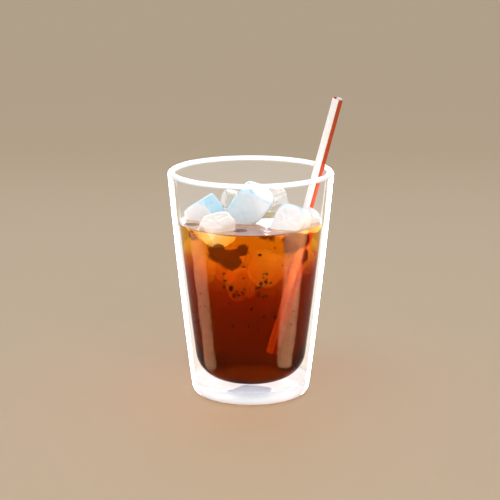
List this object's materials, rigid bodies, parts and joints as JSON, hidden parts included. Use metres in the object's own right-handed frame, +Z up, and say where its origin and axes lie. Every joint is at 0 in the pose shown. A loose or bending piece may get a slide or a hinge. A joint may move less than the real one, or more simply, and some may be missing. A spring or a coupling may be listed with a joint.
{
  "type": "cold brew coffee in a glass",
  "caption": "Tapered thick-walled clear tumbler of cold brew coffee with floating ice cubes and a striped straw leaning on its rim.",
  "frame": {"origin": "centre of the glass's foot, on the surface it stands on", "axes": "+Z up along the axis of the glass, +X to the right in the picture, where the straw leans, +Y away from the camera"},
  "size_m": [0.0932, 0.0886, 0.1618],
  "materials": {
    "glass": "clear polished glass",
    "coffee": "clear dark brown liquid, amber where it is thin",
    "ice": "cloudy wet ice",
    "straw": "white plastic with two red stripes along it"
  },
  "bodies": {
    "root": {"glass": "glass", "coffee": "coffee", "straw": "straw", "ice_left_front": "ice", "ice_left_back": "ice", "ice_centre": "ice", "ice_right_front": "ice", "ice_right_back": "ice", "ice_back": "ice", "ice_chip": "ice"}
  },
  "joints": []
}
